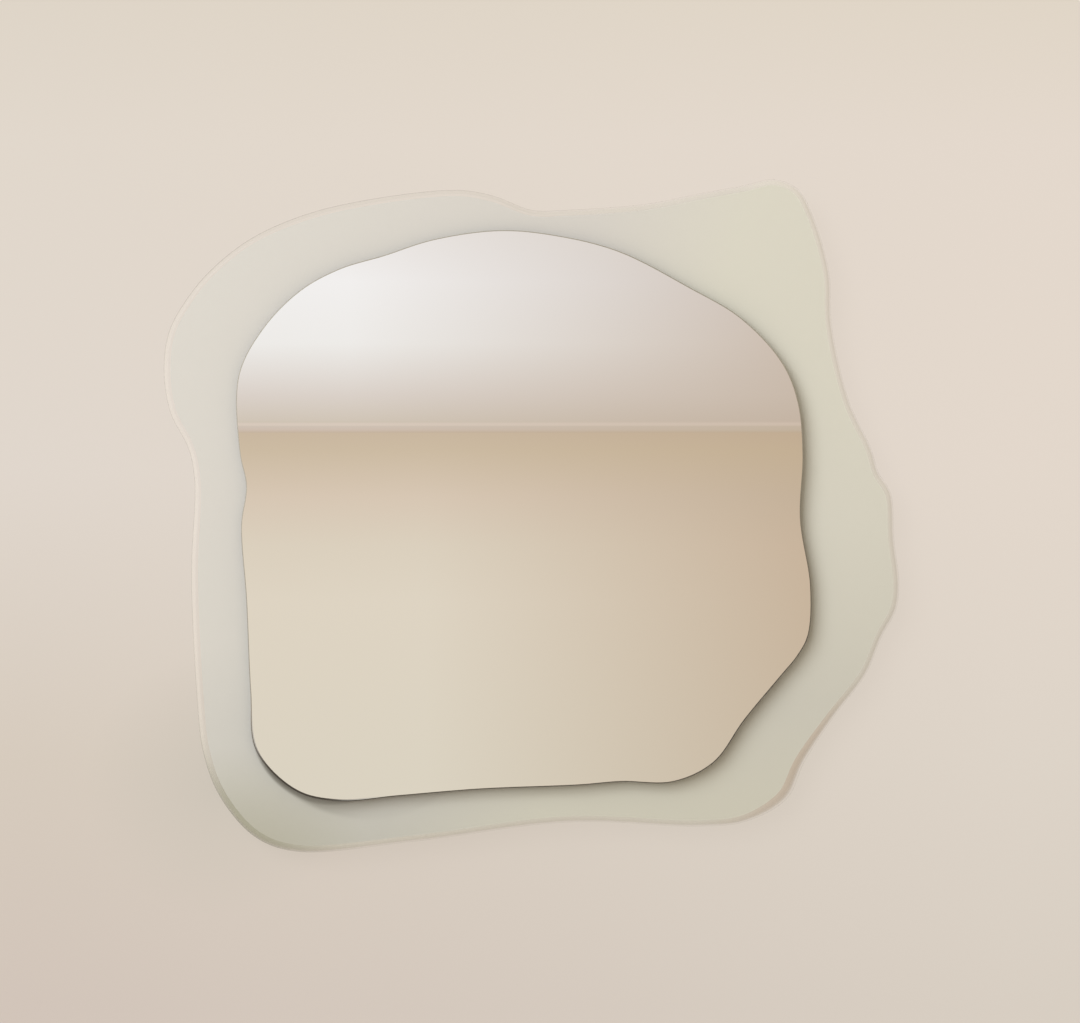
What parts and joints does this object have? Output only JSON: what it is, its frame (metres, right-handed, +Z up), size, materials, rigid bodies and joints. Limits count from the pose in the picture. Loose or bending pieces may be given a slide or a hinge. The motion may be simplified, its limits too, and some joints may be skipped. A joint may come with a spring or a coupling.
{
  "type": "wall mirror",
  "caption": "Frameless wall mirror with a wavy outline that floats in front of a larger wavy satin glass, bonded to a back frame that hooks over a wall rail.",
  "frame": {"origin": "Middle of the wall rail's row of screw holes, on the rail's back face, which is the wall's face.", "axes": "+X is to the right as seen from the front, +Y goes into the wall, +Z is up. The mirror faces -Y."},
  "size_m": [0.885, 0.0456, 0.81],
  "materials": {
    "satin_glass": "satin sage face with a clear polished edge",
    "silvered_glass": "silvered, polished edge",
    "aluminium": "mill extruded, satin",
    "zinc_plate": "zinc plated",
    "zinc_screws": "zinc plated",
    "dark_screws": "black oxide",
    "bumper_rubber": "matte",
    "foam_tape": "matte white foam",
    "adhesive": "cured grey adhesive",
    "black_board": "black-lacquered fibreboard",
    "safety_film": "grey woven film"
  },
  "bodies": {
    "wall_rail": {"wall_rail": "aluminium"},
    "mirror": {"hanger_cleat": "aluminium", "hanger_screws": "zinc_screws", "hanger_nuts": "zinc_screws", "top_rail": "aluminium", "bottom_rail": "aluminium", "left_stile": "aluminium", "right_stile": "aluminium", "corner_plates": "zinc_plate", "corner_screws": "dark_screws", "wall_bumpers": "bumper_rubber", "frame_tape": "foam_tape", "back_glass": "satin_glass", "rear_tape": "foam_tape", "rear_adhesive": "adhesive", "spacer_board": "black_board", "front_tape": "foam_tape", "front_adhesive": "adhesive", "safety_film": "safety_film", "mirror_glass": "silvered_glass"}
  },
  "joints": [
    {"name": "lift_off", "type": "slide", "parent": "wall_rail", "child": "mirror", "axis": [0, 0, 1], "range_m": [0, 0.015]}
  ]
}
